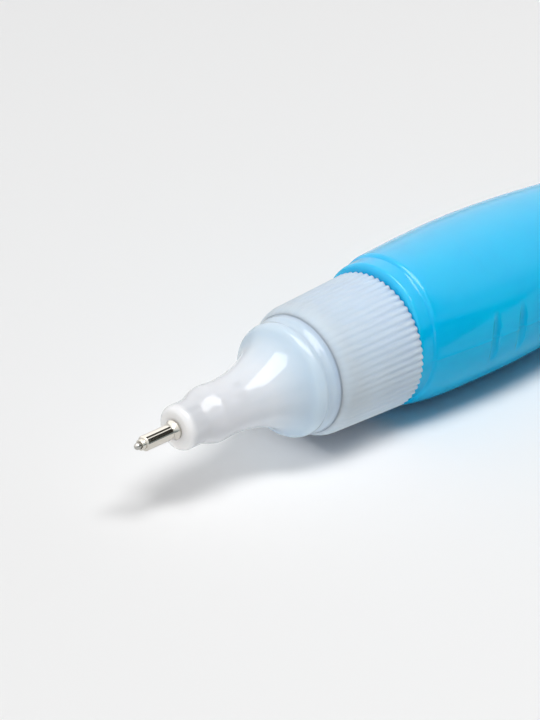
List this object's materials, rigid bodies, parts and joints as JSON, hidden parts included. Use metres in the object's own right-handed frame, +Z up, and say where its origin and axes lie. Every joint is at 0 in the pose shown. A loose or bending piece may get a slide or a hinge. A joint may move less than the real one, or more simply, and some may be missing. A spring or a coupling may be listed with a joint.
{
  "type": "correction pen",
  "caption": "Squeeze correction pen without its cap: oval sky-blue bottle, ribbed screw collar, milky bell-shaped nozzle and a sprung metal needle tip.",
  "frame": {"origin": "under the middle of the pen's length, on the surface that it lies on", "axes": "+X along the pen from the needle tip to the tail, +Z up from the surface, Y across the pen"},
  "size_m": [0.1074, 0.02, 0.0206],
  "materials": {
    "barrel_blue": "blow-moulded polyethylene, sky blue, glossy and slightly translucent",
    "collar_pale": "moulded polypropylene, pale blue-grey, satin",
    "nozzle_milky": "moulded natural polyethylene, milky and translucent, glossy",
    "tip_nickel": "turned brass, nickel plated",
    "needle_steel": "ground stainless steel",
    "holder_white": "moulded white acetal",
    "spring_steel": "drawn stainless spring wire",
    "seal_white": "die-cut polyethylene foam",
    "ball_steel": "rolled steel ball"
  },
  "bodies": {
    "barrel": {"barrel": "barrel_blue"},
    "head": {"nozzle": "nozzle_milky", "metal_tip": "tip_nickel", "spring_holder": "holder_white", "valve_spring": "spring_steel", "neck_seal": "seal_white"},
    "collar": {"screw_collar": "collar_pale"},
    "needle": {"needle": "needle_steel"},
    "ball": {"mixing_ball": "ball_steel"}
  },
  "joints": [
    {"name": "head_lift", "type": "slide", "parent": "barrel", "child": "head", "axis": [-1, 0, 0], "range_m": [0, 0.0045]},
    {"name": "collar_turn", "type": "hinge", "parent": "head", "child": "collar", "pos_m": [-0.01441, 0, 0.0103], "axis": [-1, 0, 0], "range_deg": [0, 540.5]},
    {"name": "needle_press", "type": "slide", "parent": "head", "child": "needle", "axis": [1, 0, 0], "range_m": [0, 0.0006], "stiffness_N_per_m": 400, "springref_m": -0.0008, "deforming": ["valve_spring"]},
    {"name": "ball_roll", "type": "slide", "parent": "barrel", "child": "ball", "axis": [0.9972, 0, 0.0748], "range_m": [0, 0.044]}
  ],
  "couplings": [
    {"joint": "collar_turn", "follows": "head_lift", "rad_per_m": 2094.4}
  ]
}
